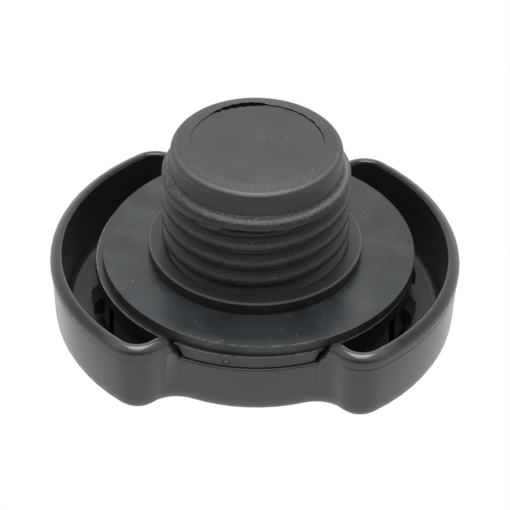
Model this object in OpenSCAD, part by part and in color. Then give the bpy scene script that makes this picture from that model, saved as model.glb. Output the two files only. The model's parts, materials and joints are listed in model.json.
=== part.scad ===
// Screw-in oil filler cap: two-lobed handle, snap carrier, flat gasket,
// threaded plug and the disc that closes the plug's hollow end.
// Stored upside down, as it lies on a bench: z = 0 is the handle's outer face,
// the thread points up +Z, and the grip wings lie along X.

/* [Handle] */
// Diameter over the two grip wings
handle_d = 79; // [78:0.5:82]
// Height of the wing rims above the outer face
rim_z = 16.3; // [15.9:0.2:17.5]
// Thickness of the wing wall at its rim
wing_wall = 2.4; // [2:0.1:2.5]
// Radius of the convex corner at each end of a wing
lobe_r = 6.2; // [5.8:0.2:7]
// Radius of the hollow between a wing and the centre wall
hollow_r = 4.6; // [4:0.2:5]
// Direction of the corner's centre, in degrees from the wing's middle
lobe_az = 51; // [48:0.5:52]
// How far the wings stand out past the centre wall
wing_depth = 8.4; // [8:0.1:8.7]
// Wall taper in mm of radius per mm of height
draft = 0.05; // [0.02:0.005:0.06]
// Rounding where the walls meet the outer face
base_round = 4; // [3:0.5:4.5]
// Thickness of the face plate
plate_t = 2.8; // [2.4:0.1:3.2]
// Height of the witness step below the rim
witness_drop = 3.3; // [3:0.1:3.6]

/* [Carrier] */
// Wall of the drum and its snap arms
drum_wall = 2.4; // [2:0.1:3]
// Height of the gasket seat above the outer face
seat_z = 14.5; // [14.3:0.1:14.7]
// Thickness of the flange
flange_t = 2.4; // [2.2:0.1:2.6]
// Width of each snap lug
lug_w = 4.2; // [3.6:0.2:5]

/* [Gasket] */
// Distance from the flange's edge to the gasket's edge
gasket_margin = 0.6; // [0.6:0.1:2]
// Thickness of the gasket
gasket_t = 2; // [1.6:0.1:2.4]

/* [Plug] */
// Diameter over the thread crests
thread_d = 36; // [35:0.5:37]
// Axial distance from crest to crest
pitch = 4; // [3.6:0.1:4.4]
// Depth of the thread
thread_depth = 1.15; // [0.9:0.05:1.3]
// Diameter of the collar that clamps the gasket
collar_d = 41; // [40:0.5:43]
// Diameter of the plain pilot above the thread
pilot_d = 32.6; // [32:0.1:33]
// Overall height of the cap
total_z = 41.4; // [40.5:0.3:43.5]
// Rounding of the pilot's end
pilot_round = 1.4; // [1:0.1:1.8]

/* [End disc] */
// Diameter of the disc
disc_d = 25.4; // [23:0.2:26]
// Thickness of the disc
disc_t = 2.2; // [1.8:0.1:2.6]

/* [Hidden] */
$fn = 96;
EPS = 0.01;

// Outline of the handle: four tangent arcs a quarter
R_WING = handle_d / 2;
CENTRE_R = R_WING - wing_depth;
D_LOBE = R_WING - lobe_r;
D_HOLLOW = CENTRE_R + hollow_r;
D_BETWEEN = lobe_r + hollow_r;
AZ_STEP = acos((D_LOBE * D_LOBE + D_HOLLOW * D_HOLLOW - D_BETWEEN * D_BETWEEN)
    / (2 * D_LOBE * D_HOLLOW));
AZ_HOLLOW = lobe_az + AZ_STEP;
C_LOBE = D_LOBE * [cos(lobe_az), sin(lobe_az)];
C_HOLLOW = D_HOLLOW * [cos(AZ_HOLLOW), sin(AZ_HOLLOW)];
TOWARD = C_HOLLOW - C_LOBE;
AZ_TURN = atan2(TOWARD[1], TOWARD[0]);

// Steps along the arcs of one quarter
N_WING = 10;
N_LOBE = 10;
N_HOLLOW = 8;
N_CENTRE = 4;

// Seam under the carrier's band
BAND_GAP = 0.25;

// Centre wall and the cut end of each wing, as angles from the wing's middle
CENTRE_TOP = seat_z - flange_t - BAND_GAP;
CUT_LOW_AZ = AZ_HOLLOW - 2.5;
CUT_HIGH_AZ = AZ_HOLLOW - 4.8;
CUT_RIM_AZ = AZ_HOLLOW - 7.3;
CUT_HIGH_Z = rim_z - 2.2;

// Lip and the two fillets inside the handle
LIP_OUT = 1.75;
LIP_IN = wing_wall - LIP_OUT;
LIP_CENTRE = 0.35;
WITNESS = 0.16;
WITNESS_RISE = 0.12;
FLOOR_FILLET = 1.7;
CENTRE_FILLET = 0.3;
N_ROUND = 5;
N_EDGE = 3;

// Ring wall of the handle that the carrier drops into
FLANGE_R = CENTRE_R - 0.5;
DRUM_R = FLANGE_R - 2.6;
CENTRE_IN = DRUM_R + 0.35;
RING_IN = CENTRE_IN + 0.4;
RING_OUT = CENTRE_R - 0.75;
RING_DRAFT = 0.15;
RING_TOP = CENTRE_TOP - 0.12;
RING_END_AZ = 30;
RING_END_STEP = 0.6;
N_WINDOW = 5;

// Carrier
CARRIER_LOW = plate_t + 1.2;
FLANGE_LOW = seat_z - flange_t;
DRUM_H = FLANGE_LOW - CARRIER_LOW;
SIDE_GAP = 0.6;
ARM_R = CENTRE_R - 0.9;
ARM_END_AZ = 25.5;
ARM_ROOT = 1;
ARM_CHAMFER = 1.2;
LUG_AZ = 12;
LUG_R = CENTRE_R + 0.5;
LUG_LOW = 5.5;
LUG_TOP = 9.6;
LUG_CHAMFER = 1.4;
BAND_SIDE_AZ = 0.6;
BAND_LOW_AZ = CUT_LOW_AZ + BAND_SIDE_AZ;
BAND_HIGH_AZ = CUT_HIGH_AZ + BAND_SIDE_AZ;
BAND_LEAN = atan(CENTRE_R * sin(CUT_LOW_AZ - CUT_HIGH_AZ) / (CUT_HIGH_Z - CENTRE_TOP));
CARRIER_BORE = 12;

// Gasket, clamped between the carrier's seat and the plug's collar
GASKET_SHIFT = [0.65, 0.15];
GASKET_R = FLANGE_R - gasket_margin;
GASKET_BORE = 15.5;
NECK_R = 14;
GASKET_TOP = seat_z + gasket_t;

// Plug
THREAD_R = thread_d / 2;
ROOT_R = THREAD_R - thread_depth;
PILOT_R = pilot_d / 2;
COLLAR_H = 2.5;
COLLAR_EDGE = 0.3;
COLLAR_TOP = GASKET_TOP + COLLAR_H;
PILOT_H = 5;
THREAD_TOP = total_z - PILOT_H;
CHAMFER_LOW = THREAD_TOP - 1.4;
SPIGOT_LOW = CARRIER_LOW + 0.8;
PLUG_WALL = 2.7;
DISC_R = disc_d / 2;
DISC_TOP = total_z - 0.15;
LEDGE_Z = DISC_TOP - disc_t;
LEDGE_W = 1.5;

// Pilot's end: a shallow cone round the disc that runs into the rounded edge
CROWN = 9;
EDGE_R = PILOT_R - pilot_round;
CONE_END = [EDGE_R + pilot_round * sin(CROWN), total_z
    - (EDGE_R + pilot_round * sin(CROWN) - DISC_R) * tan(CROWN)];
EDGE_Z = CONE_END[1] - pilot_round * cos(CROWN);

// Helical ridge: height of the crest at azimuth -90 above the collar's foot
CREST_Z0 = COLLAR_TOP + 3.3;
TURN_STEPS = 54;
RIDGE_SINK = 0.9;
RIDGE_HALF = pitch * 0.47;
CREST_IN = pitch * 0.13;
CREST_OUT = pitch * 0.27;
RIDGE_FOOT = 0.03;
RIDGE_SHOULDER = thread_depth * 0.74;
RIDGE_CREST = thread_depth * 0.97;
RIDGE_LEAD = 1.5;
RIDGE_DIVE = 2;
RIDGE_SEAT = COLLAR_TOP - COLLAR_H / 2;
RING_R = THREAD_R - 0.1;
RING_RISE = 1;
RING_LOW = CHAMFER_LOW - 0.8 - RING_RISE;
RING_CLEAR = 0.25;

// Points of one quarter of the outline, moved inwards by t
function arc_pts(c, r, a0, a1, n, skip = 0) =
    [for (i = [skip:n])
        let (a = a0 + (a1 - a0) * i / n)
        c + r * [cos(a), sin(a)]];

function quarter(t) = concat(
    arc_pts([0, 0], R_WING - t, 0, lobe_az, N_WING),
    arc_pts(C_LOBE, max(lobe_r - t, 0.3), lobe_az, AZ_TURN, N_LOBE, 1),
    arc_pts(C_HOLLOW, hollow_r + t, AZ_TURN + 180, AZ_HOLLOW + 180, N_HOLLOW, 1),
    arc_pts([0, 0], CENTRE_R - t, AZ_HOLLOW, 90, N_CENTRE, 1));

// Direction of every outline point, measured on the outer edge
function quarter_az() = [for (p = quarter(0)) atan2(p[1], p[0])];

// The whole closed outline from one quarter
function whole(q) =
    let (n = len(q) - 1)
    concat(
        [for (i = [0:n]) q[i]],
        [for (i = [n - 1:-1:0]) [-q[i][0], q[i][1]]],
        [for (i = [1:n]) [-q[i][0], -q[i][1]]],
        [for (i = [n - 1:-1:1]) [q[i][0], -q[i][1]]]);

function whole_list(v) =
    let (n = len(v) - 1)
    concat(
        [for (i = [0:n]) v[i]],
        [for (i = [n - 1:-1:0]) v[i]],
        [for (i = [1:n]) v[i]],
        [for (i = [n - 1:-1:1]) v[i]]);

function blend(x, x0, x1) = max(0, min(1, (x - x0) / (x1 - x0)));

// Height of the wall along the outline: full on the wings, cut down slantwise
// at their ends, low along the centre
function wall_top(az) =
    az >= CUT_LOW_AZ ? CENTRE_TOP
    : az >= CUT_HIGH_AZ
        ? CENTRE_TOP + (CUT_HIGH_Z - CENTRE_TOP) * blend(az, CUT_LOW_AZ, CUT_HIGH_AZ)
    : let (u = blend(az, CUT_RIM_AZ, CUT_HIGH_AZ))
      CUT_HIGH_Z + (rim_z - CUT_HIGH_Z) * sqrt(max(0, 1 - u * u));

// 1 on a wing, 0 along the centre
function on_wing(az) = 1 - blend(az, CUT_RIM_AZ, CUT_LOW_AZ);

function taper(z) = draft * (rim_z - z);

// Thickness of the wall at the lip: the wing's, or the deeper centre wall's
function inner_t(w) = CENTRE_R - CENTRE_IN + (wing_wall - CENTRE_R + CENTRE_IN) * w;

// One level of the wall: [inward offset, height] for every outline direction
function wall_profile(az) =
    let (
        top = wall_top(az),
        w = on_wing(az),
        out_r = LIP_CENTRE + (LIP_OUT - LIP_CENTRE) * w,
        in_r = LIP_CENTRE + (LIP_IN - LIP_CENTRE) * w,
        step_z = min(rim_z - witness_drop, top - out_r - 2 * WITNESS_RISE),
        step = WITNESS * w,
        t_in = inner_t(w))
    concat(
        [for (i = [0:N_ROUND])
            let (a = 90 * i / N_ROUND, z = base_round * (1 - cos(a)))
            [taper(base_round) + step + base_round * (1 - sin(a)), z]],
        [[taper(step_z) + step, step_z]],
        [[taper(step_z + WITNESS_RISE), step_z + WITNESS_RISE]],
        [for (i = [0:N_ROUND])
            let (a = 90 * i / N_ROUND)
            [out_r * (1 - cos(a)), top - out_r * (1 - sin(a))]],
        [for (i = [1:N_EDGE])
            let (a = 90 * i / N_EDGE)
            [t_in - in_r + in_r * sin(a), top - in_r * (1 - cos(a))]]);

// Fillet at the foot of the inner skin, or only a blunt edge in its place
function foot_profile(az, is_blunt) =
    let (
        w = on_wing(az),
        t_foot = inner_t(w) + taper(plate_t) * w,
        foot_r = is_blunt ? CENTRE_FILLET : CENTRE_FILLET + (FLOOR_FILLET - CENTRE_FILLET) * w)
    [for (i = [0:N_ROUND])
        let (a = 90 * i / N_ROUND)
        [t_foot + foot_r * (1 - cos(a)), plate_t + foot_r * (1 - sin(a))]];

// Direction of a ring wall point, by its place along the quarter's outline
function ring_az(i) = lookup(i, [
    [0, 0],
    [N_WINDOW, RING_END_AZ],
    [N_WINDOW + 1, RING_END_AZ + RING_END_STEP],
    [N_WING, lobe_az - 7],
    [N_WING + N_LOBE + 1, lobe_az + 5]]);

function polar(r, a) = r * [cos(a), sin(a)];

// One spoke of the inside, from the foot of the wall over the ring wall to the
// middle of the floor, as points with heights: across a pocket, where the pocket
// runs out against the ring wall, or along the centre wall that holds it
function inside(i, az) =
    let (
        prof = foot_profile(az, false),
        foot = [for (p = prof) quarter(p[0])[i]],
        blunt = foot_profile(az, true),
        near = [for (p = blunt) quarter(p[0])[i]],
        low = near[len(near) - 1],
        r_low = norm(low),
        a_low = atan2(low[1], low[0]),
        a = ring_az(i),
        top = i > N_WINDOW ? RING_TOP : plate_t)
    norm(foot[len(foot) - 1]) > RING_OUT + 2 * RING_DRAFT && i <= N_WING + N_LOBE + 1
        ? concat(
            [for (k = [0:len(foot) - 1]) [foot[k], prof[k][1]]],
            [[polar(RING_OUT + RING_DRAFT, a), plate_t]],
            [[polar(RING_OUT, a), top]],
            [[polar(RING_IN, a), top]],
            [[polar(RING_IN - RING_DRAFT, a), plate_t]])
    : r_low > RING_IN + RING_DRAFT
        ? concat(
            [for (k = [0:len(near) - 1]) [near[k], RING_TOP]],
            [for (u = [2, 1]) [polar(RING_IN + (r_low - RING_IN) * u / 3, a_low), RING_TOP]],
            [[polar(RING_IN, a_low), RING_TOP]],
            [[polar(RING_IN - RING_DRAFT, a_low), plate_t]])
    : concat(
        [for (k = [0:len(near) - 1]) [near[k], blunt[k][1]]],
        [for (u = [1:4]) [polar(r_low - u * RING_DRAFT / 2, a_low), plate_t]]);

// Outer skin, lip, inner skin, ring wall and floor in one closed surface
module handle_shell() {
    az = quarter_az();
    last = len(az) - 1;
    spokes = [for (i = [0:last])
        concat(
            [for (p = wall_profile(az[i])) [quarter(p[0])[i], p[1]]],
            inside(i, az[i]))];
    m = len(spokes[0]);
    rows = [for (k = [0:m - 1])
        let (pts = whole([for (s = spokes) s[k][0]]), z = whole_list([for (s = spokes) s[k][1]]))
        [for (i = [0:len(pts) - 1]) [pts[i][0], pts[i][1], z[i]]]];
    n = len(rows[0]);
    skin = [for (k = [0:m - 2]) for (i = [0:n - 1])
        let (
            j = (i + 1) % n,
            a = k * n + i,
            b = k * n + j,
            c = (k + 1) * n + j,
            d = (k + 1) * n + i)
        each [[a, c, b], [a, d, c]]];
    bottom = [[for (i = [0:n - 1]) i]];
    floor_face = [[for (i = [n - 1:-1:0]) (m - 1) * n + i]];
    polyhedron([for (r = rows) for (p = r) p], concat(skin, bottom, floor_face), convexity = 8);
}

module handle() {
    color([0.05, 0.05, 0.052])
        handle_shell();
}

// Flange in plan: a disc that clears the ends of the wing walls, with a band
// front and back that closes the gap between the wings
module flange_plan() {
    difference() {
        circle(r = FLANGE_R);
        for (sx = [-1, 1], sy = [-1, 1])
            translate([sx * C_HOLLOW[0], sy * C_HOLLOW[1]])
                circle(r = hollow_r + wing_wall + SIDE_GAP);
    }
}

// Bands front and back, their ends leaning like the cut ends of the wings
module bands() {
    for (a = [0, 180])
        rotate([0, 0, a])
            difference() {
                linear_extrude(flange_t)
                    intersection() {
                        circle(r = FLANGE_R);
                        polygon([
                            [0, 0],
                            2 * CENTRE_R * [cos(BAND_HIGH_AZ), sin(BAND_HIGH_AZ)],
                            2 * CENTRE_R * [-cos(BAND_HIGH_AZ), sin(BAND_HIGH_AZ)]]);
                    }
                for (side = [0, 1])
                    mirror([side, 0, 0])
                        rotate([0, 0, BAND_LOW_AZ])
                            translate([0, 0, CENTRE_TOP - FLANGE_LOW])
                                rotate([BAND_LEAN, 0, 0])
                                    translate([CARRIER_BORE, -CENTRE_R, -CENTRE_R])
                                        cube([CENTRE_R, CENTRE_R, 2 * CENTRE_R]);
            }
}

// Snap arm in a window of the ring wall, with its two lugs
module snap_arm() {
    rotate([0, 0, -ARM_END_AZ])
        rotate_extrude(angle = 2 * ARM_END_AZ)
            polygon([
                [DRUM_R - ARM_ROOT, CARRIER_LOW],
                [ARM_R - ARM_CHAMFER, CARRIER_LOW],
                [ARM_R, CARRIER_LOW + ARM_CHAMFER],
                [ARM_R, FLANGE_LOW + EPS],
                [DRUM_R - ARM_ROOT, FLANGE_LOW + EPS]]);
    for (s = [-1, 1])
        rotate([0, 0, s * LUG_AZ])
            translate([0, lug_w / 2, 0])
                rotate([90, 0, 0])
                    linear_extrude(lug_w)
                        polygon([
                            [ARM_R - ARM_ROOT, LUG_LOW],
                            [LUG_R, LUG_LOW],
                            [LUG_R, LUG_TOP - LUG_CHAMFER],
                            [LUG_R - LUG_CHAMFER, LUG_TOP],
                            [ARM_R - ARM_ROOT, LUG_TOP]]);
}

module carrier() {
    color([0.06, 0.06, 0.06]) {
        difference() {
            union() {
                translate([0, 0, FLANGE_LOW]) {
                    linear_extrude(flange_t)
                        flange_plan();
                    bands();
                }
                translate([0, 0, CARRIER_LOW])
                    difference() {
                        cylinder(r = DRUM_R, h = DRUM_H + EPS);
                        translate([0, 0, -1])
                            cylinder(r = DRUM_R - drum_wall, h = DRUM_H + 1);
                    }
                snap_arm();
                rotate([0, 0, 180]) snap_arm();
            }
            translate([0, 0, FLANGE_LOW - 1])
                cylinder(r = CARRIER_BORE, h = flange_t + 2);
        }
    }
}

module gasket() {
    color([0.08, 0.09, 0.1])
        difference() {
            translate([GASKET_SHIFT[0], GASKET_SHIFT[1], seat_z])
                cylinder(r = GASKET_R, h = gasket_t);
            translate([0, 0, seat_z - 1])
                cylinder(r = GASKET_BORE, h = gasket_t + 2);
        }
}

// Turned body of the plug under the thread ridge
module plug_body() {
    rotate_extrude()
        difference() {
            union() {
                polygon([
                    [0, SPIGOT_LOW],
                    [CARRIER_BORE, SPIGOT_LOW],
                    [CARRIER_BORE, seat_z],
                    [NECK_R, seat_z],
                    [NECK_R, GASKET_TOP],
                    [collar_d / 2, GASKET_TOP],
                    [collar_d / 2, COLLAR_TOP - COLLAR_EDGE],
                    [collar_d / 2 - COLLAR_EDGE, COLLAR_TOP],
                    [ROOT_R, COLLAR_TOP],
                    [ROOT_R, RING_LOW],
                    [RING_R, RING_LOW + RING_RISE],
                    [RING_R, CHAMFER_LOW],
                    [PILOT_R, THREAD_TOP],
                    [PILOT_R, EDGE_Z],
                    [EDGE_R, EDGE_Z],
                    CONE_END,
                    [DISC_R, total_z],
                    [0, total_z]]);
                intersection() {
                    translate([EDGE_R, EDGE_Z])
                        circle(r = pilot_round);
                    translate([EDGE_R - EPS, EDGE_Z - EPS])
                        square(2 * pilot_round);
                }
            }
            polygon([
                [-1, SPIGOT_LOW - 1],
                [CARRIER_BORE - PLUG_WALL, SPIGOT_LOW - 1],
                [CARRIER_BORE - PLUG_WALL, GASKET_TOP],
                [DISC_R - LEDGE_W, COLLAR_TOP],
                [DISC_R - LEDGE_W, LEDGE_Z],
                [DISC_R, LEDGE_Z],
                [DISC_R, total_z + 1],
                [-1, total_z + 1]]);
        }
}

// Radius of the chamfered ring that the thread starts under
function ring_r(z) =
    z < CHAMFER_LOW
        ? min(RING_R, ROOT_R + (RING_R - ROOT_R) * (z - RING_LOW) / RING_RISE)
        : RING_R + (PILOT_R - RING_R) * (z - CHAMFER_LOW) / (THREAD_TOP - CHAMFER_LOW);

// Radius of a ridge point: as drawn, but drawn in under the ring where they meet
function ridge_r(r, z) =
    let (meet = RING_LOW + RING_RISE / 2)
    min(r, ring_r(max(z, meet)) - RING_CLEAR + RIDGE_DIVE * max(0, meet - z));

// Single right-hand ridge, wound with its inner edge sunk in the body
module thread_ridge() {
    z_low = COLLAR_TOP - RIDGE_LEAD;
    z_high = RING_LOW + RIDGE_HALF + RING_RISE / 6;
    turns = (z_high - z_low) / pitch;
    n = ceil(turns * TURN_STEPS);
    sink_r = ROOT_R - RIDGE_SINK;
    sect = [
        [-RIDGE_HALF, -RIDGE_SINK],
        [-RIDGE_HALF, RIDGE_FOOT],
        [-CREST_OUT, RIDGE_SHOULDER],
        [-CREST_IN, RIDGE_CREST],
        [CREST_IN, RIDGE_CREST],
        [CREST_OUT, RIDGE_SHOULDER],
        [RIDGE_HALF, RIDGE_FOOT],
        [RIDGE_HALF, -RIDGE_SINK]];
    m = len(sect);
    pts = [for (i = [0:n])
        let (
            z = z_low + (z_high - z_low) * i / n,
            a = -90 + 360 * (z - CREST_Z0) / pitch)
        for (s = sect)
            let (
                zz = max(z + s[0], RIDGE_SEAT),
                r = s[1] < 0 ? sink_r : ridge_r(ROOT_R + s[1], zz))
            [r * cos(a), r * sin(a), zz]];
    skin = [for (i = [0:n - 1]) for (k = [0:m - 1])
        let (
            l = (k + 1) % m,
            a = i * m + k,
            b = i * m + l,
            c = (i + 1) * m + l,
            d = (i + 1) * m + k)
        each [[a, b, c], [a, c, d]]];
    first = [[for (k = [m - 1:-1:0]) k]];
    last = [[for (k = [0:m - 1]) n * m + k]];
    polyhedron(pts, concat(skin, first, last), convexity = 10);
}

module plug() {
    color([0.07, 0.07, 0.07]) {
        plug_body();
        thread_ridge();
    }
}

module end_disc() {
    color([0.08, 0.085, 0.09])
        translate([0, 0, LEDGE_Z])
            cylinder(r = DISC_R, h = disc_t);
}

handle();
carrier();
gasket();
plug();
end_disc();
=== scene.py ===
"""Looks of an oil filler cap that lies on its handle: grained black mouldings, a smudged
sheet gasket, a screw plug with moulding marks and a closing disc that has started to lift.

The parts' classes hold sizes and places in millimetres, and angles in degrees. The studio and
its lamps are in metres. Colours are linear.
"""

from __future__ import annotations

import json
import logging
import math
from dataclasses import dataclass
from enum import Enum
from functools import cached_property

import bpy
from mathutils import Matrix, Vector

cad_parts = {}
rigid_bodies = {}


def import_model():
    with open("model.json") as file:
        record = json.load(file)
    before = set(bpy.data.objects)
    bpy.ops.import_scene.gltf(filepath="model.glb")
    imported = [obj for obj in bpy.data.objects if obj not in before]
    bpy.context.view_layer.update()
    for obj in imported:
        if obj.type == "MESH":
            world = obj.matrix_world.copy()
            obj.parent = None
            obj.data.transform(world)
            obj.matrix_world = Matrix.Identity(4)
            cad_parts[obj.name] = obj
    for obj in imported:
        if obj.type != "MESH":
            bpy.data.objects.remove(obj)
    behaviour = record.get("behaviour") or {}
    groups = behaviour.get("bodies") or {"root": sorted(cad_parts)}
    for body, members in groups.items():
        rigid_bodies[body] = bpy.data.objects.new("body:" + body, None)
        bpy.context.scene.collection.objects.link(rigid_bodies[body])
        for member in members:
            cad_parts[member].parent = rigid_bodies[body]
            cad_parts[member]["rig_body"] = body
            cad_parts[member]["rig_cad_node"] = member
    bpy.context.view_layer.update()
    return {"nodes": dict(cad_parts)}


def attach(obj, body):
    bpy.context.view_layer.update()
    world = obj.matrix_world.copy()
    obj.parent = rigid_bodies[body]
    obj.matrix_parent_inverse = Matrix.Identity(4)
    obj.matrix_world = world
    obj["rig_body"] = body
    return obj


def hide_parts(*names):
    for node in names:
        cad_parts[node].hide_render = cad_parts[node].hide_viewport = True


MM = 0.001
BODY = "root"
MERGE_DISTANCE = 2e-6
FLAT_ANGLE = 0.05
SEAM_SMOOTH_ANGLE = 30.0

Colour = tuple[float, float, float]
Point = tuple[float, float, float]
Spot = tuple[float, float]
Socket = bpy.types.NodeSocket
Signal = Socket | float

BLACK_LINE: Colour = (0.002, 0.002, 0.002)
# Greys for painted light: the first lightens lit faces and edges, the second is for brighter
# painted highlights.
PAINTED_LIGHT: Colour = (0.3, 0.3, 0.29)
PAINTED_HIGHLIGHT: Colour = (0.4, 0.4, 0.39)
GRAIN_PEAK: Colour = (0.35, 0.35, 0.34)
# A pale grey for the painted highlight and painted light along the gasket's front edge.
PAINTED_RUBBER_LIGHT: Colour = (0.28, 0.28, 0.26)

log = logging.getLogger("oil_filler_cap")


class Grain(Enum):
    """How a surface was textured: the distance between its bumps, and their height."""

    SATIN = (0.4, 0.012)
    COARSE = (0.32, 0.24)
    SMOOTH = (0.9, 0.006)
    CUT_SHEET = (1.3, 0.006)

    @property
    def spacing(self) -> float:
        """About how far apart its bumps are."""
        return self.value[0]

    @property
    def height(self) -> float:
        """How high its bumps stand."""
        return self.value[1]


@dataclass(frozen=True)
class Zone:
    """A band of lengths: full within half of its middle, and fading out over soft more."""

    half: float
    soft: float
    middle: float = 0.0


@dataclass(frozen=True)
class Fade:
    """The two lengths, rising or falling, between which something grows from none to full."""

    none: float
    full: float


@dataclass(frozen=True)
class Speckle:
    """Patches of noise: their size, the noise's levels at none and full, and its detail."""

    size: float
    none: float
    full: float
    detail: float = 2.0


@dataclass(frozen=True)
class Coat:
    """A colour that lies over a finish, and how much of the finish it covers."""

    colour: Colour
    amount: float = 1.0


def deselect_all() -> None:
    """Leave object mode's selection empty, so that an operator acts only on what is picked."""
    if bpy.context.mode != "OBJECT":
        bpy.ops.object.mode_set(mode="OBJECT")
    bpy.ops.object.select_all(action="DESELECT")


def pick(obj: bpy.types.Object) -> None:
    """Make one object the only selected and active one.

    Args:
        obj: The object the next operators work on.
    """
    deselect_all()
    obj.select_set(True)
    bpy.context.view_layer.objects.active = obj


def settle(obj: bpy.types.Object, smooth_angle: float) -> None:
    """Put an object's place into its mesh and smooth what is rounder than an angle.

    Args:
        obj: The finished piece.
        smooth_angle: Edges sharper than this many degrees stay crisp.
    """
    pick(obj)
    bpy.ops.object.transform_apply(location=True, rotation=True, scale=True)
    bpy.ops.object.shade_smooth_by_angle(angle=math.radians(smooth_angle))


def merged_copy(node: str, name: str, nodes: dict[str, bpy.types.Object],
                smooth_angle: float) -> bpy.types.Object:
    """Copy a solid of the frame with its triangles joined, so that its curves shade smoothly.

    Args:
        node: The solid's name in the frame.
        name: The new piece's name.
        nodes: The frame's solids by name.
        smooth_angle: Edges sharper than this many degrees stay crisp.

    Returns:
        The copy, which stands for the solid and rides on the cap's body.
    """
    pick(nodes[node])
    bpy.ops.object.duplicate()
    piece = bpy.context.view_layer.objects.active
    piece.name = name
    piece.parent = None
    # The copy is a piece of its own, so the marks of a solid of the frame come off it.
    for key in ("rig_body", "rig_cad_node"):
        if key in piece:
            del piece[key]
    bpy.ops.object.mode_set(mode="EDIT")
    bpy.ops.mesh.select_all(action="SELECT")
    bpy.ops.mesh.remove_doubles(threshold=MERGE_DISTANCE)
    bpy.ops.mesh.dissolve_limited(angle_limit=math.radians(FLAT_ANGLE))
    bpy.ops.mesh.customdata_custom_splitnormals_clear()
    bpy.ops.object.mode_set(mode="OBJECT")
    settle(piece, smooth_angle)
    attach(piece, BODY)
    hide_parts(node)
    return piece


def shape_edit(piece: bpy.types.Object, chosen: list[int], move: Vector) -> None:
    """Move some of a piece's vertices together in edit mode.

    Args:
        piece: The piece to shape.
        chosen: Indices of the vertices to move.
        move: How far they go, in metres.
    """
    pick(piece)
    bpy.ops.object.mode_set(mode="EDIT")
    bpy.ops.mesh.select_all(action="DESELECT")
    bpy.ops.object.mode_set(mode="OBJECT")
    for index in chosen:
        piece.data.vertices[index].select = True
    bpy.ops.object.mode_set(mode="EDIT")
    bpy.ops.transform.translate(value=move)
    bpy.ops.object.mode_set(mode="OBJECT")


def give(piece: bpy.types.Object, material: bpy.types.Material) -> None:
    """Dress a piece in one material.

    Args:
        piece: The piece to dress.
        material: Its material.
    """
    piece.data.materials.clear()
    piece.data.materials.append(material)


@dataclass(frozen=True)
class Wave:
    """One wave of a crack's torn edges: its pace along them, their shift and its strength."""

    pace: float
    shift: float
    strength: float


@dataclass(frozen=True)
class Crack:
    """An open crack that follows an arc round the cap's axis, widest where its skew puts it.

    Its angles start at the cap's right.
    """

    start: float
    end: float
    radius: float
    width: float
    lean: float
    depth: float
    jag: float
    skew: float = 1.0
    top: float = 41.9
    steps: int = 40
    bluntness: float = 0.8
    hairline: float = 0.03
    calm_ends: float = 4.0
    waves: tuple[Wave, ...] = (Wave(1.1, 2.1, 1.0), Wave(2.7, 1.3, 0.6), Wave(5.3, 4.0, 0.5))

    def edge(self, step: int, side: int) -> Vector:
        """Place of one side of the crack at one step along it.

        Args:
            step: Which step, from 0 to the last.
            side: 0 for the inner side, 1 for the outer.

        Returns:
            The point on the crack's upper plane, in metres.
        """
        along = step / self.steps
        angle = math.radians(self.start + (self.end - self.start) * along)
        swell = math.sin(math.pi * along ** self.skew)
        opening = self.width * max(swell, 0.0) ** self.bluntness + self.hairline
        torn = sum(wave.strength * math.sin(wave.pace * step + wave.shift * side)
                   for wave in self.waves)
        radius = self.radius + self.lean * swell + (side - 0.5) * opening
        radius += self.jag * torn * min(1.0, self.calm_ends * along,
                                        self.calm_ends * (1.0 - along))
        return Vector((radius * math.cos(angle), radius * math.sin(angle), self.top)) * MM

    def cutter(self) -> bpy.types.Object:
        """Model the crack's empty space as a solid strip.

        Returns:
            The strip, ready to cut with.
        """
        deselect_all()
        bpy.ops.mesh.primitive_grid_add(x_subdivisions=self.steps, y_subdivisions=1, size=2.0)
        strip = bpy.context.object
        strip.name = "crack_cutter"
        for index in range(len(strip.data.vertices)):
            side, step = divmod(index, self.steps + 1)
            at = strip.data.vertices[index].co.copy()
            shape_edit(strip, [index], self.edge(step, side) - at)
        pick(strip)
        bpy.ops.object.mode_set(mode="EDIT")
        bpy.ops.mesh.select_all(action="SELECT")
        bpy.ops.mesh.extrude_region_move(
            TRANSFORM_OT_translate={"value": (0.0, 0.0, -self.depth * MM)})
        bpy.ops.mesh.select_all(action="SELECT")
        bpy.ops.mesh.normals_make_consistent(inside=False)
        bpy.ops.object.mode_set(mode="OBJECT")
        return strip


SEAM_CRACKS = (
    Crack(start=83.0, end=137.0, radius=12.75, width=1.3, lean=0.1, depth=2.2, jag=0.09,
          skew=0.62),
    Crack(start=4.0, end=86.0, radius=12.76, width=0.2, lean=0.03, depth=1.9, jag=0.05),
)


def cut(pieces: list[bpy.types.Object], cutter: bpy.types.Object) -> None:
    """Take a cutter's space out of some pieces and remove the cutter.

    Args:
        pieces: The pieces it opens.
        cutter: The solid to take away.
    """
    for piece in pieces:
        pick(piece)
        modifier = piece.modifiers.new("crack", "BOOLEAN")
        modifier.operation = "DIFFERENCE"
        modifier.solver = "EXACT"
        modifier.object = cutter
        bpy.ops.object.modifier_apply(modifier=modifier.name)
    pick(cutter)
    bpy.ops.object.delete()


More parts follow.
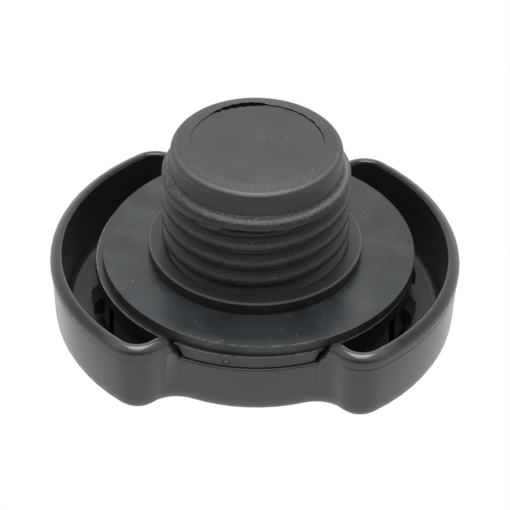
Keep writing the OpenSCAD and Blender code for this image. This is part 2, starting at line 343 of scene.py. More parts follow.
class Tree:
    """A short way to write the nodes of a material or of the world."""

    def __init__(self, tree: bpy.types.NodeTree) -> None:
        """Work on a node tree.

        Args:
            tree: The tree that the nodes are added to.
        """
        self.tree = tree

    def feed(self, target: Socket, value: Signal | tuple[float, ...] | None) -> None:
        """Set an input, or link what it reads.

        Args:
            target: The input.
            value: Its plain value, or the socket it reads, or nothing for its default.
        """
        if isinstance(value, Socket):
            self.tree.links.new(value, target)
        elif value is not None:
            target.default_value = value

    def add(self, kind: str, values: dict[str, object] | None = None,
            **links: Socket) -> bpy.types.Node:
        """Add a node, set its plain inputs and link its others.

        Args:
            kind: The node's type.
            values: Properties of the node, and values of its inputs.
            **links: Sockets to join to the inputs of those names.

        Returns:
            The new node.
        """
        node = self.tree.nodes.new(kind)
        for key, value in (values or {}).items():
            if key in node.inputs:
                node.inputs[key].default_value = value
            else:
                setattr(node, key, value)
        for key, socket in links.items():
            self.tree.links.new(socket, node.inputs[key])
        return node

    def math(self, operation: str, first: Signal, second: Signal | None = None) -> Socket:
        """Add an arithmetic operation.

        Args:
            operation: The Math node's operation.
            first: Its first value.
            second: Its second value, where it has one.

        Returns:
            The result.
        """
        node = self.add("ShaderNodeMath", {"operation": operation})
        self.feed(node.inputs[0], first)
        self.feed(node.inputs[1], second)
        return node.outputs[0]

    def both(self, *signals: Signal) -> Socket:
        """Multiply some signals.

        Args:
            *signals: The signals, of which the first is a socket.

        Returns:
            Their product, which is strong only where all of them are.
        """
        product = signals[0]
        for signal in signals[1:]:
            product = self.math("MULTIPLY", product, signal)
        return product

    def most(self, *signals: Signal) -> Socket:
        """Find the strongest of some signals.

        Args:
            *signals: The signals, of which the first is a socket.

        Returns:
            At each place, the highest of them.
        """
        strongest = signals[0]
        for signal in signals[1:]:
            strongest = self.math("MAXIMUM", strongest, signal)
        return strongest


class Nodes(Tree):
    """A material in the making: a principled surface, and what will colour and roughen it."""

    # A Mix node has its sockets for colours at these places.
    MIX_AMOUNT, MIX_UNDER, MIX_OVER, MIX_RESULT = 0, 6, 7, 2

    def __init__(self, name: str, shine: float = 0.5) -> None:
        """Start a material.

        Args:
            name: The material's name.
            shine: The surface's specular level.
        """
        self.material = bpy.data.materials.new(name)
        self.material.use_nodes = True
        super().__init__(self.material.node_tree)
        self.shader = self.tree.nodes["Principled BSDF"]
        self.shader.inputs["Specular IOR Level"].default_value = shine
        self.colour: Socket | None = None
        self.rough: Socket | None = None
        self.height: Socket | None = None

    @cached_property
    def place(self) -> Socket:
        """The place on the piece, in the piece's own space."""
        return self.add("ShaderNodeTexCoord").outputs["Object"]

    @cached_property
    def axes(self) -> bpy.types.bpy_prop_collection:
        """The place's X, Y and Z, in metres."""
        return self.add("ShaderNodeSeparateXYZ", Vector=self.place).outputs

    @cached_property
    def flat(self) -> Socket:
        """The place seen from above, with no height."""
        across = self.add("ShaderNodeCombineXYZ", X=self.axes["X"], Y=self.axes["Y"])
        return across.outputs["Vector"]

    @cached_property
    def out(self) -> Socket:
        """Distance from the cap's axis, in metres."""
        return self.vector("LENGTH", self.flat)

    def vector(self, operation: str, first: Socket | Point, second: Socket | Point | None = None,
               result: str = "Value") -> Socket:
        """Add a vector operation.

        Args:
            operation: The Vector Math node's operation.
            first: Its first vector.
            second: Its second vector, where it has one.
            result: Value for a plain number, Vector for a vector.

        Returns:
            The result.
        """
        node = self.add("ShaderNodeVectorMath", {"operation": operation})
        self.feed(node.inputs[0], first)
        self.feed(node.inputs[1], second)
        return node.outputs[result]

    def distance(self, centre: Point, flat: bool = False) -> Socket:
        """Measure from a point.

        Args:
            centre: The point, in millimetres.
            flat: Measure from above, with no height.

        Returns:
            The distance in metres.
        """
        place = self.flat if flat else self.place
        return self.vector("DISTANCE", place, tuple(v * MM for v in centre))

    def noise(self, size: float, detail: float) -> Socket:
        """Add noise over the piece.

        Args:
            size: About how large its patches are, in millimetres.
            detail: How many finer layers it has.

        Returns:
            The noise, most of it between 0.3 and 0.7.
        """
        scale = 1.0 / (size * MM)
        node = self.add("ShaderNodeTexNoise", {"Scale": scale, "Detail": detail},
                        Vector=self.place)
        return node.outputs["Fac"]

    def ramp(self, value: Socket, none: float, full: float) -> Socket:
        """Stretch the part of a value between two levels to 0 and 1.

        Args:
            value: The value to stretch.
            none: Its level at 0.
            full: Its level at 1.

        Returns:
            The signal.
        """
        node = self.add("ShaderNodeMapRange", {"From Min": none, "From Max": full}, Value=value)
        return node.outputs["Result"]

    def speckle(self, speckle: Speckle) -> Socket:
        """Signal that is 1 in patches."""
        return self.ramp(self.noise(speckle.size, speckle.detail), speckle.none, speckle.full)

    def fade(self, length: Socket, fade: Fade) -> Socket:
        """Signal that grows between two lengths."""
        return self.ramp(length, fade.none * MM, fade.full * MM)

    def near(self, length: Socket, zone: Zone) -> Socket:
        """Make a signal of how near a length is to a zone's middle.

        Args:
            length: The length, in metres.
            zone: The zone, in millimetres.

        Returns:
            A signal that is 1 in the zone and fades out past it.
        """
        away = self.math("ABSOLUTE", self.math("SUBTRACT", length, zone.middle * MM))
        return self.ramp(away, (zone.half + zone.soft) * MM, zone.half * MM)

    def stroke(self, start: Point | Spot, end: Point | Spot, line: Zone) -> Socket:
        """Make a short straight mark, in space or, where its ends have no height, from above.

        Args:
            start: Where it starts, in millimetres.
            end: Where it ends, in millimetres.
            line: How wide it is.

        Returns:
            A signal that is 1 on the mark.
        """
        place = self.place if len(start) == 3 else self.flat
        first, last = Vector(start).to_3d(), Vector(end).to_3d()
        along = (last - first).normalized()
        local = self.vector("SUBTRACT", place, tuple(first * MM), "Vector")
        reach = self.vector("DOT_PRODUCT", local, tuple(along))
        reach = self.most(self.math("MINIMUM", reach, (last - first).length * MM), 0.0)
        foot = self.add("ShaderNodeVectorMath", {"operation": "SCALE"}, Scale=reach)
        self.feed(foot.inputs[0], tuple(along))
        away = self.vector("DISTANCE", local, foot.outputs["Vector"])
        return self.near(away, line)

    def blend(self, amount: Socket, under: Socket | Colour, over: Socket | Colour) -> Socket:
        """Mix two colours.

        Args:
            amount: How much of the upper one shows.
            under: The lower colour.
            over: The upper colour.

        Returns:
            The mixed colour.
        """
        node = self.add("ShaderNodeMix", {"data_type": "RGBA"})
        self.feed(node.inputs[self.MIX_AMOUNT], amount)
        for index, value in ((self.MIX_UNDER, under), (self.MIX_OVER, over)):
            self.feed(node.inputs[index], (*value, 1.0) if isinstance(value, tuple) else value)
        return node.outputs[self.MIX_RESULT]

    def paint(self, amount: Socket, coat: Coat) -> None:
        """Lay a coat over the finish.

        Args:
            amount: Where it lies.
            coat: Its colour and cover.
        """
        self.colour = self.blend(self.both(amount, coat.amount), self.colour, coat.colour)

    def dull(self, amount: Socket, roughness: float = 0.85) -> None:
        """Take the gloss off the finish.

        Args:
            amount: Where it is dull.
            roughness: How rough it is where the signal is full.
        """
        self.rough = self.most(self.rough, self.both(amount, roughness))

    def close(self, grain: Grain) -> bpy.types.Material:
        """Join the colour, the roughness and the grain to the surface.

        Args:
            grain: The grain, for the height of its bumps.

        Returns:
            The finished material.
        """
        bump = self.add("ShaderNodeBump", {"Strength": 1.0, "Distance": grain.height * MM},
                        Height=self.height)
        self.feed(self.shader.inputs["Base Color"], self.colour)
        self.feed(self.shader.inputs["Roughness"], self.rough)
        self.feed(self.shader.inputs["Normal"], bump.outputs["Normal"])
        return self.material


@dataclass(frozen=True)
class MouldedFinish:
    """Black moulded plastic, a little mottled, with the grain that its mould gave it."""

    name: str
    colour: Colour
    pale: Colour
    roughness: float
    grain: Grain
    shine: float
    mottle: Speckle = Speckle(6.0, 0.3, 0.75, detail=4.0)
    patches: Speckle = Speckle(11.0, 0.3, 0.7, detail=3.0)
    patch_roughness: float = 0.08
    grain_detail: float = 2.0

    def start(self) -> Nodes:
        """Lay the plain finish.

        Returns:
            The material in the making, so that a piece can add its own marks.
        """
        kit = Nodes(self.name, self.shine)
        kit.colour = kit.blend(kit.speckle(self.mottle), self.colour, self.pale)
        patchy = kit.both(kit.speckle(self.patches), self.patch_roughness)
        kit.rough = kit.math("ADD", patchy, self.roughness - self.patch_roughness / 2)
        kit.height = kit.noise(self.grain.spacing, self.grain_detail)
        return kit


@dataclass(frozen=True)
class RubberFinish:
    """Cut sheet rubber: bluish, dulled by oil smudges, with pale specks caught on it."""

    name: str
    colour: Colour
    dark: Colour
    film: Coat
    caught: Coat
    roughness: float
    grain: Grain
    shine: float
    smudges: Speckle = Speckle(11.0, 0.4, 0.58, detail=5.0)
    smudge_gloss: float = 0.1
    film_patches: Speckle = Speckle(6.0, 0.5, 0.72, detail=6.0)
    specks: Speckle = Speckle(0.75, 0.76, 0.8, detail=1.0)
    grain_detail: float = 4.0

    def start(self) -> Nodes:
        """Lay the plain finish.

        Returns:
            The material in the making, so that a piece can add its own marks.
        """
        kit = Nodes(self.name, self.shine)
        smudge = kit.speckle(self.smudges)
        kit.colour = kit.blend(smudge, self.dark, self.colour)
        kit.paint(kit.speckle(self.film_patches), self.film)
        kit.paint(kit.speckle(self.specks), self.caught)
        kit.rough = kit.math("ADD", kit.both(smudge, -self.smudge_gloss), self.roughness)
        kit.height = kit.noise(self.grain.spacing, self.grain_detail)
        return kit


@dataclass
class Part:
    """A solid of the frame that is shown by one shaped and dressed piece."""

    nodes: dict[str, bpy.types.Object]
    node: str
    name: str
    slot: str
    smooth_angle: float

    def build(self) -> bpy.types.Object:
        """Make, shape and dress the piece.

        Returns:
            The finished piece.
        """
        piece = merged_copy(self.node, self.name, self.nodes, self.smooth_angle)
        self.shape(piece)
        give(piece, self.dress())
        return piece

    def shape(self, piece: bpy.types.Object) -> None:
        """Change the copied mesh, which a plain part leaves as it is."""

    def dress(self) -> bpy.types.Material:
        """Make the piece's material."""
        raise NotImplementedError


@dataclass
class Handle(Part):
    """The two-winged grip the whole cap is turned by."""

    node: str = "handle"
    name: str = "grip_moulding"
    slot: str = "handle_plastic"
    smooth_angle: float = 34.0
    finish: MouldedFinish = MouldedFinish(
        "satin_black_handle", colour=(0.022, 0.022, 0.022), pale=(0.03, 0.0295, 0.029),
        roughness=0.23, grain=Grain.SATIN, shine=0.76)
    parting: Zone = Zone(0.1, 0.09, middle=13.43)
    parting_coat: Coat = Coat((0.001, 0.001, 0.001))
    outer_walls: Fade = Fade(10.0, 20.0)
    clear_parting: Fade = Fade(0.0, 20.0)
    faint_parting: float = 0.65
    centre_lip: Zone = Zone(0.45, 0.1, middle=11.65)
    centre_lip_out: Fade = Fade(31.6, 31.4)
    centre_lip_roughness: float = 0.45
    pocket_floor: Fade = Fade(3.6, 3.0)
    pocket_roughness: float = 0.4
    dust: Speckle = Speckle(2.6, 0.4, 0.66, detail=5.0)
    dust_coat: Coat = Coat((0.06, 0.06, 0.057), 0.35)
    dust_roughness: float = 0.46
    lobes: tuple[Point, ...] = ((-21.5, -30.5, 0.0), (21.5, -30.5, 0.0))
    lobe_size: Zone = Zone(3.0, 5.0)
    lobe_lip: Zone = Zone(0.15, 0.5, middle=15.95)
    lobe_highlight_speckle: Speckle = Speckle(0.3, 0.3, 0.7, detail=1.0)
    lobe_speckled_highlight_coat: Coat = Coat(PAINTED_HIGHLIGHT, 0.1)
    lobe_highlight_coat: Coat = Coat(PAINTED_HIGHLIGHT, 0.15)
    nick: Point = (-31.9, 19.05, 16.2)
    nick_size: Zone = Zone(0.15, 0.3)
    nick_coat: Coat = Coat((0.12, 0.12, 0.12), 0.5)

    def dress(self) -> bpy.types.Material:
        """Add the parting line, a dull centre lip, pocket dust, painted highlights on the lobes'
        lips and a nick.

        Returns:
            The grip's material.
        """
        kit = self.finish.start()
        height = kit.axes["Z"]
        normal = kit.add("ShaderNodeNewGeometry").outputs["Normal"]
        outward = kit.fade(kit.vector("DOT_PRODUCT", normal, kit.flat), self.outer_walls)
        clear = kit.most(kit.fade(kit.axes["X"], self.clear_parting), self.faint_parting)
        line = kit.both(kit.near(height, self.parting), outward, clear)
        kit.paint(line, self.parting_coat)
        kit.dull(line)
        lip = kit.both(kit.near(height, self.centre_lip), kit.fade(kit.out, self.centre_lip_out))
        kit.dull(lip, self.centre_lip_roughness)
        pocket = kit.fade(height, self.pocket_floor)
        kit.dull(pocket, self.pocket_roughness)
        dust = kit.both(pocket, kit.speckle(self.dust))
        kit.paint(dust, self.dust_coat)
        kit.dull(dust, self.dust_roughness)
        # Painted highlight on the outer lips of the two front lobes, part speckled and part even.
        lit_lobe_lip = kit.most(*(kit.near(kit.distance(lobe, flat=True), self.lobe_size)
                          for lobe in self.lobes))
        lit_lobe_lip = kit.both(lit_lobe_lip, kit.near(height, self.lobe_lip))
        kit.paint(kit.both(lit_lobe_lip, kit.speckle(self.lobe_highlight_speckle)), self.lobe_speckled_highlight_coat)
        kit.paint(lit_lobe_lip, self.lobe_highlight_coat)
        kit.paint(kit.near(kit.distance(self.nick), self.nick_size), self.nick_coat)
        return kit.close(self.finish.grain)


@dataclass(frozen=True)
class Reach:
    """How far the corners that lie between two heights are drawn out."""

    low: float
    high: float
    length: float


@dataclass
class Carrier(Part):
    """The snapped-in carrier with its flange, bands and lugs."""

    node: str = "carrier"
    name: str = "carrier_moulding"
    slot: str = "carrier_plastic"
    smooth_angle: float = 30.0
    finish: MouldedFinish = MouldedFinish(
        "grained_black_carrier", colour=(0.014, 0.014, 0.014), pale=(0.02, 0.02, 0.019),
        roughness=0.36, grain=Grain.SATIN, shine=0.75)
    band_radius: float = 30.6
    band_half_angle: float = 25.63
    band_corner: float = 0.1
    band_reaches: tuple[Reach, ...] = (Reach(13.9, 14.3, 0.6), Reach(14.3, 14.6, 0.95))
    band_edge: Zone = Zone(0.05, 0.14, middle=14.48)
    band_out: Fade = Fade(30.25, 30.45)
    band_highlight_speckle: Speckle = Speckle(1.2, 0.25, 0.6)
    band_highlight_coat: Coat = Coat(PAINTED_LIGHT, 0.4)
    gate: Point = (-4.17, -30.4, 13.05)
    gate_ring: Zone = Zone(0.1, 0.16, middle=0.6)
    gate_ring_gaps: Speckle = Speckle(0.8, 0.35, 0.6)
    gate_ring_coat: Coat = Coat(BLACK_LINE)
    gate_ring_roughness: float = 0.9
    gate_stub: Zone = Zone(0.1, 0.15, middle=0.25)
    gate_stub_coat: Coat = Coat((0.14, 0.14, 0.135), 0.4)

    def shape(self, piece: bpy.types.Object) -> None:
        """Draw the upper corners of the bands' ends out to the wings' cut ends.

        Args:
            piece: The carrier.
        """
        across = math.radians(90.0 - self.band_half_angle)
        for side in (-1, 1):
            for front in (-1, 1):
                end = Vector((side * math.cos(across), front * math.sin(across)))
                along = Vector((side * math.sin(across), -front * math.cos(across), 0.0))
                for reach in self.band_reaches:
                    corner = [v.index for v in piece.data.vertices
                              if reach.low <= v.co.z / MM < reach.high
                              and (v.co.xy / MM - end * self.band_radius).length
                              < self.band_corner]
                    shape_edit(piece, corner, along * reach.length * MM)
                    log.info("band end %+d %+d: %d corners", side, front, len(corner))

    def dress(self) -> bpy.types.Material:
        """Add the gate's round trace on the front band, and a speckled painted highlight along
        the bands' upper edges.

        Returns:
            The carrier's material.
        """
        kit = self.finish.start()
        away = kit.distance(self.gate)
        ring = kit.both(kit.near(away, self.gate_ring), kit.speckle(self.gate_ring_gaps))
        kit.paint(ring, self.gate_ring_coat)
        kit.dull(ring, self.gate_ring_roughness)
        kit.paint(kit.near(away, self.gate_stub), self.gate_stub_coat)
        # Painted highlight along the bands' lit upper edges, speckled.
        edge = kit.both(kit.near(kit.axes["Z"], self.band_edge), kit.fade(kit.out, self.band_out))
        kit.paint(kit.both(edge, kit.speckle(self.band_highlight_speckle)), self.band_highlight_coat)
        return kit.close(self.finish.grain)


@dataclass
class Gasket(Part):
    """The flat sealing ring under the collar."""

    node: str = "gasket"
    name: str = "gasket_ring"
    slot: str = "gasket_rubber"
    smooth_angle: float = 30.0
    finish: RubberFinish = RubberFinish(
        "smudged_gasket", colour=(0.028, 0.034, 0.039), dark=(0.01, 0.015, 0.019),
        film=Coat((0.05, 0.055, 0.056), 0.7), caught=Coat((0.5, 0.5, 0.47), 0.8),
        roughness=0.39, grain=Grain.CUT_SHEET, shine=0.6)
    centre: Point = (0.65, 0.15, 0.0)
    front: Fade = Fade(-22.0, -27.0)
    rim_across: Zone = Zone(0.14, 0.12, middle=29.95)
    rim_up: Zone = Zone(0.12, 0.1, middle=16.5)
    rim_highlight_speckle: Speckle = Speckle(0.9, 0.35, 0.7)
    rim_highlight_coat: Coat = Coat(PAINTED_RUBBER_LIGHT, 0.55)
    border: Zone = Zone(0.3, 2.4, middle=30.0)
    border_light_coat: Coat = Coat(PAINTED_RUBBER_LIGHT, 0.12)
    tear: tuple[Point, ...] = ((-4.7, -28.3, 16.5), (-5.9, -28.9, 16.5), (-6.6, -29.0, 16.4),
                               (-7.75, -28.65, 15.4))
    tear_line: Zone = Zone(0.03, 0.13)
    tear_coat: Coat = Coat((0.24, 0.25, 0.24), 0.55)
    cut_wall: Fade = Fade(29.88, 29.98)
    cut_roughness: float = 0.3

    def dress(self) -> bpy.types.Material:
        """Add a speckled painted highlight on the front edge, painted light along the front
        border, the tear and the rough cut wall.

        Returns:
            The gasket's material.
        """
        kit = self.finish.start()
        across = kit.distance(self.centre, flat=True)
        front = kit.fade(kit.axes["Y"], self.front)
        # Painted highlight on the top outer edge at the front, speckled, and painted light on a
        # broader band along the front border.
        rim_highlight = kit.both(kit.near(across, self.rim_across), kit.near(kit.axes["Z"], self.rim_up))
        kit.paint(kit.both(rim_highlight, front, kit.speckle(self.rim_highlight_speckle)), self.rim_highlight_coat)
        kit.paint(kit.both(kit.near(across, self.border), front), self.border_light_coat)
        tear = kit.most(*(kit.stroke(start, end, self.tear_line)
                          for start, end in zip(self.tear, self.tear[1:])))
        kit.paint(tear, self.tear_coat)
        wall = kit.both(kit.fade(across, self.cut_wall), self.cut_roughness)
        kit.rough = kit.math("ADD", kit.rough, wall)
        return kit.close(self.finish.grain)


@dataclass
class Plug(Part):
    """The threaded plug with its collar and plain pilot."""

    node: str = "plug"
    name: str = "screw_plug"
    slot: str = "plug_plastic"
    smooth_angle: float = 32.0
    finish: MouldedFinish = MouldedFinish(
        "grained_plug", colour=(0.015, 0.015, 0.014), pale=(0.022, 0.0215, 0.02),
        roughness=0.42, grain=Grain.COARSE, shine=0.6)
    front: Fade = Fade(6.0, -10.0)
    chamfer: Zone = Zone(0.4, 0.4, middle=35.7)
    end_face: Fade = Fade(40.5, 41.1)
    end_grain: float = 0.4
    crest_out: Fade = Fade(17.0, 17.8)
    crest_up: Zone = Zone(6.5, 0.8, middle=27.5)
    crest_grain: float = 0.4
    collar: Zone = Zone(0.3, 0.2, middle=19.0)
    collar_grain: float = 0.25
    least_grain: float = 0.15
    peaks: Speckle = Speckle(0.28, 0.5, 0.7, detail=1.0)
    peak_coat: Coat = Coat(GRAIN_PEAK, 0.4)
    highlight_speckle: Speckle = Speckle(0.22, 0.35, 0.65, detail=1.0)
    chamfer_highlight: Zone = Zone(0.1, 0.3, middle=35.7)
    chamfer_highlight_right: Fade = Fade(-16.0, -5.0)
    chamfer_speckled_highlight: Coat = Coat(PAINTED_HIGHLIGHT, 0.45)
    chamfer_highlight_coat: Coat = Coat(PAINTED_HIGHLIGHT, 0.18)
    upper_corner: Zone = Zone(0.08, 0.2, middle=36.5)
    upper_shade: float = 0.5
    lower_corner: Zone = Zone(0.08, 0.2, middle=34.75)
    lower_shade: float = 0.6
    corner_shade_coat: Coat = Coat((0.004, 0.004, 0.004))
    end_light_coat: Coat = Coat(PAINTED_LIGHT, 0.12)
    rim_highlight: Zone = Zone(0.2, 0.3, middle=15.5)
    rim_speckled_highlight: Coat = Coat(PAINTED_HIGHLIGHT, 0.3)
    rim_highlight_coat: Coat = Coat(PAINTED_LIGHT, 0.2)
    under_rim_light: Zone = Zone(0.3, 0.3, middle=40.4)
    under_rim_light_coat: Coat = Coat(PAINTED_LIGHT, 0.1)
    collar_edge_up: Zone = Zone(0.12, 0.1, middle=18.9)
    collar_edge_out: Zone = Zone(0.2, 0.1, middle=20.35)
    collar_edge_highlight_coat: Coat = Coat((0.2, 0.2, 0.19), 0.3)
    flash: tuple[Spot, Spot] = ((-2.05, -15.7), (-2.3, -17.6))
    flash_line: Zone = Zone(0.05, 0.08)
    flash_up: Zone = Zone(0.8, 0.4, middle=37.4)
    flash_coat: Coat = Coat((0.003, 0.003, 0.003), 0.8)

    def dress(self) -> bpy.types.Material:
        """Give the end, chamfer, crests and collar pale grain speckles, and paint highlights,
        light and shade on the chamfer, the end and the collar's edge.

        Returns:
            The plug's material.
        """
        kit = self.finish.start()
        height = kit.axes["Z"]
        front = kit.fade(kit.axes["Y"], self.front)
        end_face = kit.fade(height, self.end_face)
        crest = kit.both(kit.fade(kit.out, self.crest_out), kit.near(height, self.crest_up))
        grained = kit.most(kit.near(height, self.chamfer),
                           kit.both(end_face, self.end_grain),
                           kit.both(crest, self.crest_grain),
                           kit.both(kit.near(height, self.collar), self.collar_grain))
        kit.paint(kit.both(kit.speckle(self.peaks), grained), self.peak_coat)
        kit.height = kit.both(kit.height, kit.most(grained, self.least_grain))
        self.paint_chamfer_light(kit)
        self.paint_end_light(kit, kit.both(end_face, front), front)
        # Painted highlight along the collar's top outer edge.
        edge = kit.both(kit.near(height, self.collar_edge_up),
                        kit.near(kit.out, self.collar_edge_out))
        kit.paint(edge, self.collar_edge_highlight_coat)
        flash = kit.both(kit.stroke(*self.flash, self.flash_line),
                         kit.near(height, self.flash_up))
        kit.paint(flash, self.flash_coat)
        kit.dull(flash)
        return kit.close(self.finish.grain)

    def paint_chamfer_light(self, kit: Nodes) -> None:
        """Paint a speckled highlight on the chamfered ring that fades out to its left, and
        painted shade in the corner above it and in the one below.

        Args:
            kit: The plug's material in the making.
        """
        height = kit.axes["Z"]
        # Painted highlight along the chamfer, speckled and plain.
        chamfer_highlight = kit.both(kit.near(height, self.chamfer_highlight), kit.fade(kit.axes["X"], self.chamfer_highlight_right))
        kit.paint(kit.both(chamfer_highlight, kit.speckle(self.highlight_speckle)), self.chamfer_speckled_highlight)
        kit.paint(chamfer_highlight, self.chamfer_highlight_coat)
        # Painted shade in the concave corner above the chamfer and in the one below it.
        for zone, shade in ((self.upper_corner, self.upper_shade),
                            (self.lower_corner, self.lower_shade)):
            corner = kit.both(kit.near(height, zone), shade)
            kit.paint(corner, self.corner_shade_coat)
            kit.dull(corner)

    def paint_end_light(self, kit: Nodes, end_front: Socket, front: Socket) -> None:
        """Paint light on the front of the end face, a stronger painted highlight on its rounded
        rim, and painted light just under the rim.

        Args:
            kit: The plug's material in the making.
            end_front: Where the front of the end face is.
            front: Where the front of the plug is.
        """
        # Painted light on the front of the end face.
        kit.paint(end_front, self.end_light_coat)
        # Painted highlight along the end's rounded rim at the front, speckled and plain.
        rim_highlight = kit.both(kit.near(kit.out, self.rim_highlight), end_front)
        kit.paint(kit.both(rim_highlight, kit.speckle(self.highlight_speckle)), self.rim_speckled_highlight)
        kit.paint(rim_highlight, self.rim_highlight_coat)
        # Painted light below the rim at the front, lifting the shade there.
        under_rim_light = kit.both(kit.near(kit.axes["Z"], self.under_rim_light), front)
        kit.paint(under_rim_light, self.under_rim_light_coat)


@dataclass
class EndDisc(Part):
    """The disc let into the pilot's end."""

    node: str = "end_disc"
    name: str = "closing_disc"
    slot: str = "disc_plastic"
    smooth_angle: float = 30.0
    finish: MouldedFinish = MouldedFinish(
        "smooth_end_disc", colour=(0.021, 0.0225, 0.022), pale=(0.041, 0.042, 0.04),
        roughness=0.38, grain=Grain.SMOOTH, shine=0.7)
    front: Fade = Fade(-3.0, -10.0)
    peaks: Speckle = Speckle(0.24, 0.5, 0.72, detail=1.0)
    peak_coat: Coat = Coat(GRAIN_PEAK, 0.12)
    back: Fade = Fade(3.0, 11.0)
    back_coat: Coat = Coat((0.02, 0.026, 0.03), 0.6)
    gate: Point = (0.3, 2.0, 0.0)
    gate_rings: tuple[Zone, ...] = (Zone(0.1, 0.25, middle=1.1), Zone(0.1, 0.25, middle=2.2),
                                    Zone(0.1, 0.25, middle=3.3))
    ring_gaps: Speckle = Speckle(1.5, 0.4, 0.6)
    ring_coat: Coat = Coat((0.06, 0.065, 0.065), 0.3)
    scratches: tuple[tuple[Spot, Spot], ...] = (
        ((-0.5, 1.9), (1.1, 1.9)), ((-1.2, 4.8), (1.6, 4.8)), ((0.0, -2.8), (1.9, -2.8)),
        ((-6.5, 8.8), (-3.6, 8.8)))
    scratch_line: Zone = Zone(0.02, 0.1)
    scratch_coat: Coat = Coat((0.2, 0.2, 0.2), 0.3)
    specks: tuple[Spot, ...] = ((5.5, 2.4), (5.8, 1.7), (10.5, -0.95), (-10.7, -3.3))
    speck_size: Zone = Zone(0.06, 0.1)
    speck_coat: Coat = Coat((0.4, 0.41, 0.42), 0.5)

    def dress(self) -> bpy.types.Material:
        """Add a grained front, a bluish back, gate rings, short scratches and specks.

        Returns:
            The disc's material.
        """
        kit = self.finish.start()
        depth = kit.axes["Y"]
        kit.paint(kit.both(kit.speckle(self.peaks), kit.fade(depth, self.front)), self.peak_coat)
        kit.paint(kit.fade(depth, self.back), self.back_coat)
        away = kit.distance(self.gate, flat=True)
        rings = kit.most(*(kit.near(away, ring) for ring in self.gate_rings))
        kit.paint(kit.both(rings, kit.speckle(self.ring_gaps)), self.ring_coat)
        for start, end in self.scratches:
            kit.paint(kit.stroke(start, end, self.scratch_line), self.scratch_coat)
        specks = kit.most(*(kit.near(kit.distance((*spot, 0.0), flat=True), self.speck_size)
                            for spot in self.specks))
        kit.paint(specks, self.speck_coat)
        return kit.close(self.finish.grain)


@dataclass(frozen=True)
class Lamp:
    """A square soft lamp that faces the cap, sized in metres and watts."""

    name: str
    place: Point
    size: float
    power: float
    target: Point = (0.0, 0.0, 0.02)

    def hang(self) -> None:
        """Put the lamp in the scene."""
        data = bpy.data.lights.new(self.name, "AREA")
        data.size = self.size
        data.energy = self.power
        lamp = bpy.data.objects.new(self.name, data)
        bpy.context.scene.collection.objects.link(lamp)
        lamp.location = self.place
        aim = Vector(self.target) - Vector(self.place)
        lamp.rotation_euler = aim.to_track_quat("-Z", "Y").to_euler()


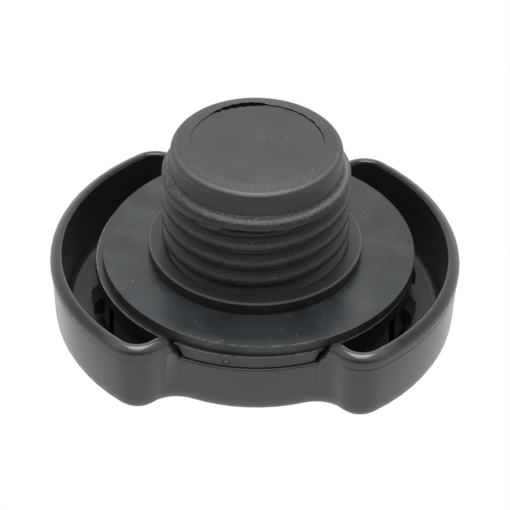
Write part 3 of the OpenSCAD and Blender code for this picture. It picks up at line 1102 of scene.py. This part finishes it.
@dataclass
class Studio:
    """White sweep, soft lamps and the camera."""

    floor_size: float = 3.0
    floor_drop: float = 0.00005
    floor_grey: float = 0.82
    floor_roughness: float = 0.9
    wall_behind: float = 1.6
    walls_aside: float = 0.6
    wall_in_front: float = 0.05
    lamps: tuple[Lamp, ...] = (
        Lamp("overhead", place=(0.0, 0.06, 0.8), size=0.48, power=4.4),
        Lamp("front_fill", place=(0.0, -0.28, 0.76), size=0.36, power=1.1))
    camera_place: Point = (0.01335, -0.4633, 0.3757)
    heading: float = 1.65
    pitch: float = 37.91
    roll: float = 1.04
    lens: float = 214.9
    sensor_width: float = 36.0
    clip_start: float = 0.01

    def floor(self) -> None:
        """Lay a floor that is white to the camera and pale to everything else."""
        deselect_all()
        bpy.ops.mesh.primitive_plane_add(size=self.floor_size,
                                         location=(0.0, 0.0, -self.floor_drop))
        floor = bpy.context.object
        floor.name = "floor"
        kit = Nodes("white_floor")
        grey = self.floor_grey
        kit.shader.inputs["Base Color"].default_value = (grey, grey, grey, 1.0)
        kit.shader.inputs["Roughness"].default_value = self.floor_roughness
        white = kit.add("ShaderNodeEmission", {"Color": (1.0, 1.0, 1.0, 1.0), "Strength": 1.0})
        path = kit.add("ShaderNodeLightPath").outputs
        seen = kit.most(path["Is Camera Ray"], path["Is Glossy Ray"], path["Is Transmission Ray"])
        mix = kit.add("ShaderNodeMixShader")
        surface = kit.tree.nodes["Material Output"].inputs["Surface"]
        for target, source in ((mix.inputs[0], seen), (mix.inputs[1], kit.shader.outputs[0]),
                               (mix.inputs[2], white.outputs[0]), (surface, mix.outputs[0])):
            kit.feed(target, source)
        floor.data.materials.append(kit.material)

    def world(self) -> None:
        """Make the room white to the camera; to the cap it is bright behind and at its sides."""
        world = bpy.data.worlds.new("white_room")
        bpy.context.scene.world = world
        world.use_nodes = True
        kit = Tree(world.node_tree)
        aim = kit.add("ShaderNodeTexCoord").outputs["Generated"]
        way = kit.add("ShaderNodeSeparateXYZ", Vector=aim).outputs
        is_behind = kit.math("GREATER_THAN", way["Y"], 0.0)
        wall = kit.math("ADD", kit.both(is_behind, self.wall_behind - self.wall_in_front),
                        self.wall_in_front)
        room = kit.math("ADD", kit.both(way["Y"], way["Y"], wall),
                        kit.both(way["X"], way["X"], self.walls_aside))
        camera = kit.add("ShaderNodeLightPath").outputs["Is Camera Ray"]
        level = kit.add("ShaderNodeMix", {"B": 1.0}, Factor=camera, A=room)
        background = kit.tree.nodes["Background"]
        background.inputs["Color"].default_value = (1.0, 1.0, 1.0, 1.0)
        kit.feed(background.inputs["Strength"], level.outputs[0])

    def camera(self) -> None:
        """Set the camera at the photograph's place, heading, tilt and roll."""
        data = bpy.data.cameras.new("camera")
        data.sensor_width = self.sensor_width
        data.lens = self.lens
        data.clip_start = self.clip_start
        camera = bpy.data.objects.new("camera", data)
        bpy.context.scene.collection.objects.link(camera)
        turn = Matrix.Rotation(math.radians(self.heading), 4, "Z")
        tilt = Matrix.Rotation(math.radians(90.0 - self.pitch), 4, "X")
        lean = Matrix.Rotation(math.radians(self.roll), 4, "Z")
        camera.matrix_world = Matrix.Translation(Vector(self.camera_place)) @ turn @ tilt @ lean
        bpy.context.scene.camera = camera

    def build(self) -> None:
        """Set up the floor, the room, the lamps and the camera."""
        self.floor()
        self.world()
        for lamp in self.lamps:
            lamp.hang()
        self.camera()
        bpy.context.scene.view_settings.view_transform = "Standard"


def main() -> None:
    """Build the cap's pieces in order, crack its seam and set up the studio."""
    logging.basicConfig(level=logging.INFO, format="%(name)s: %(message)s")
    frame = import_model()
    nodes = frame["nodes"]
    pieces: dict[str, bpy.types.Object] = {}
    for part in (Handle(nodes), Carrier(nodes), Gasket(nodes), Plug(nodes), EndDisc(nodes)):
        pieces[part.name] = part.build()
    broken = [pieces["screw_plug"], pieces["closing_disc"]]
    for crack in SEAM_CRACKS:
        cut(broken, crack.cutter())
    for piece in broken:
        settle(piece, SEAM_SMOOTH_ANGLE)
    for name, piece in pieces.items():
        log.info("%s: %d faces", name, len(piece.data.polygons))
    Studio().build()


if __name__ == "__main__":
    main()
